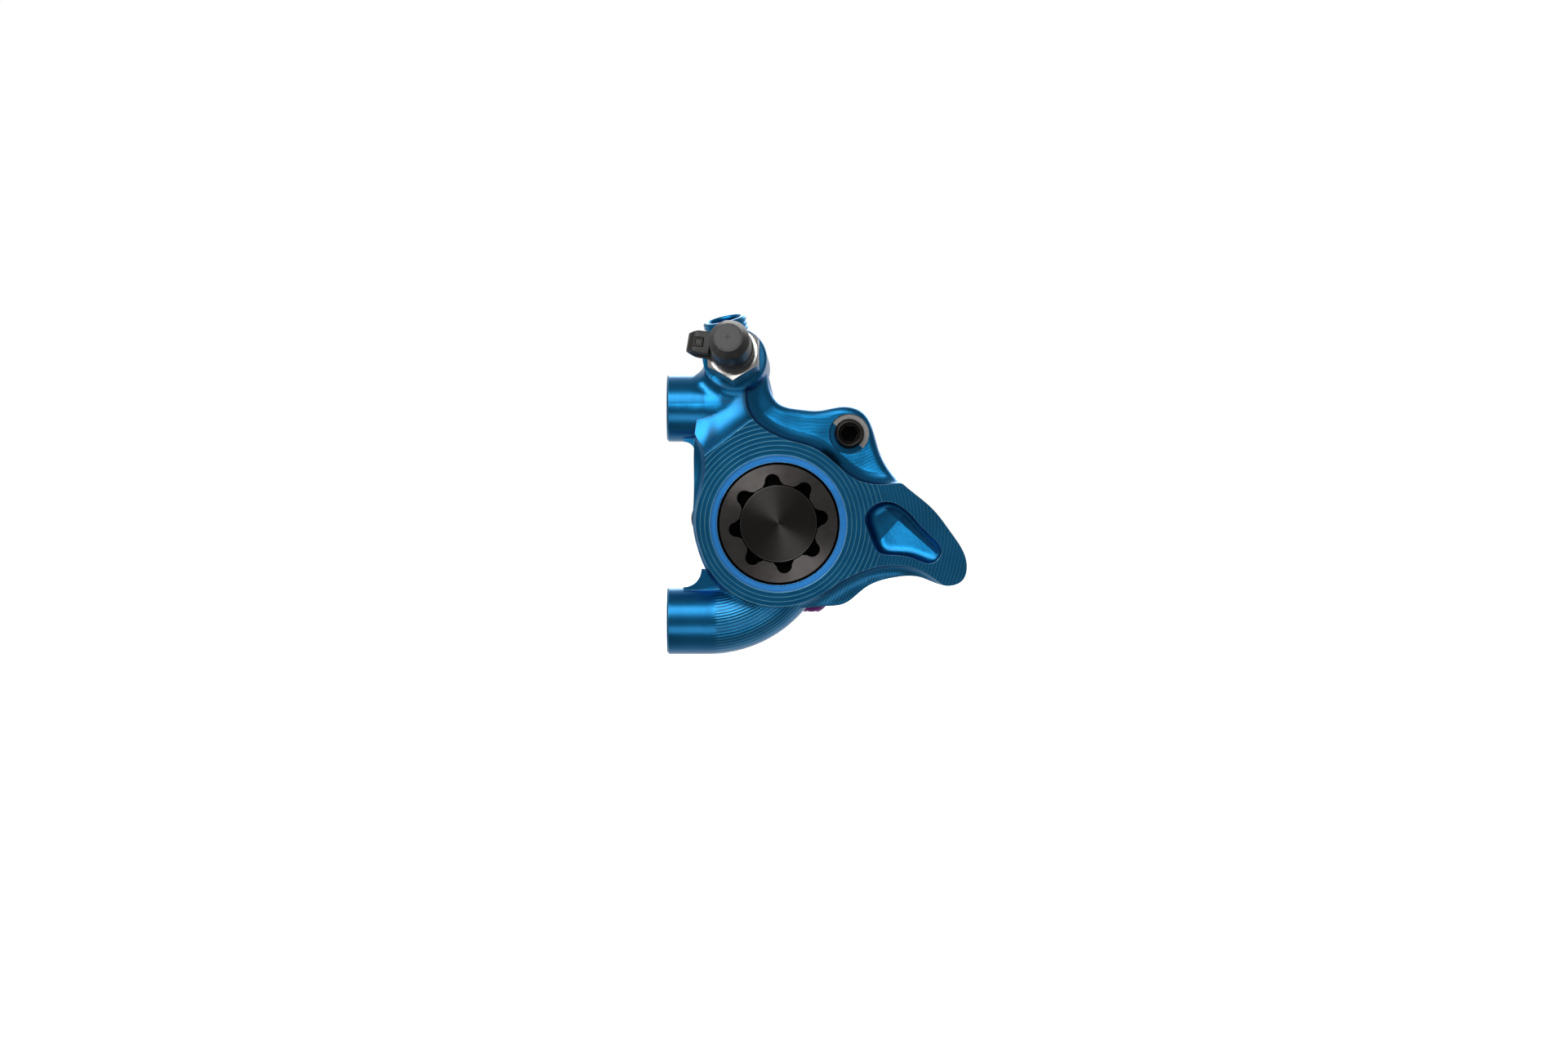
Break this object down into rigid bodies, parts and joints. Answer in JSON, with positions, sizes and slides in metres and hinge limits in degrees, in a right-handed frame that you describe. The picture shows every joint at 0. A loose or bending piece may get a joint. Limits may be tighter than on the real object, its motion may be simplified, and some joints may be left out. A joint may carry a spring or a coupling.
{
  "type": "bicycle disc brake caliper",
  "caption": "Flat-mount two-piston disc brake caliper in one blue anodised body, with pads, pad pin, bleed nipple, dust cap and open hose connector.",
  "frame": {"origin": "midway between the two mounting threads, on the plane of the feet's faces", "axes": "+X away from the frame tube the feet stand on, +Y along the piston axis from the outboard to the inboard side, +Z along the line of the two feet towards the hose port"},
  "size_m": [0.0477, 0.049, 0.055],
  "materials": {
    "blue_aluminium": "satin",
    "black_aluminium": "satin",
    "purple_aluminium": "satin",
    "stainless_steel": "machined",
    "plate_steel": "satin",
    "spring_steel": "bright",
    "friction_material": "matt",
    "piston_phenolic": "matt",
    "seal_rubber": "matt",
    "cap_rubber": "satin",
    "washer_aluminium": "matt"
  },
  "bodies": {
    "caliper": {"caliper_body": "blue_aluminium", "bore_cap": "black_aluminium", "bore_cap_o_ring": "seal_rubber", "piston_seal_outboard": "seal_rubber", "piston_seal_inboard": "seal_rubber", "pad_pin": "black_aluminium", "pin_clip": "spring_steel", "pad_spring": "spring_steel", "connector_washer": "washer_aluminium", "hose_connector": "blue_aluminium", "transfer_plug": "purple_aluminium", "transfer_plug_o_ring": "seal_rubber"},
    "outboard_piston": {"piston_outboard": "piston_phenolic"},
    "outboard_pad": {"pad_plate_outboard": "plate_steel", "pad_friction_outboard": "friction_material"},
    "inboard_piston": {"piston_inboard": "piston_phenolic"},
    "inboard_pad": {"pad_plate_inboard": "plate_steel", "pad_friction_inboard": "friction_material"},
    "nipple": {"bleed_nipple": "stainless_steel", "cap_strap": "cap_rubber"},
    "cap": {"dust_cap": "cap_rubber"}
  },
  "joints": [
    {"name": "outboard_piston_slide", "type": "slide", "parent": "caliper", "child": "outboard_piston", "axis": [0, 1, 0], "range_m": [0, 0.0011], "deforming": ["pad_spring"]},
    {"name": "outboard_pad_slide", "type": "slide", "parent": "caliper", "child": "outboard_pad", "axis": [0, 1, 0], "range_m": [0, 0.0011]},
    {"name": "inboard_piston_slide", "type": "slide", "parent": "caliper", "child": "inboard_piston", "axis": [0, -1, 0], "range_m": [0, 0.0011]},
    {"name": "inboard_pad_slide", "type": "slide", "parent": "caliper", "child": "inboard_pad", "axis": [0, -1, 0], "range_m": [0, 0.0011]},
    {"name": "bleed_nipple_turn", "type": "hinge", "parent": "caliper", "child": "nipple", "pos_m": [0.01085, -0.0046, 0.02484], "axis": [-0.0697, -0.9727, 0.2215], "range_deg": [0, 180]},
    {"name": "dust_cap_pull", "type": "slide", "parent": "nipple", "child": "cap", "axis": [-0.0697, -0.9727, 0.2215], "range_m": [0, 0.009], "deforming": ["cap_strap"]}
  ],
  "couplings": [
    {"joint": "outboard_pad_slide", "follows": "outboard_piston_slide", "ratio": 1},
    {"joint": "inboard_piston_slide", "follows": "outboard_piston_slide", "ratio": 1},
    {"joint": "inboard_pad_slide", "follows": "outboard_piston_slide", "ratio": 1}
  ]
}
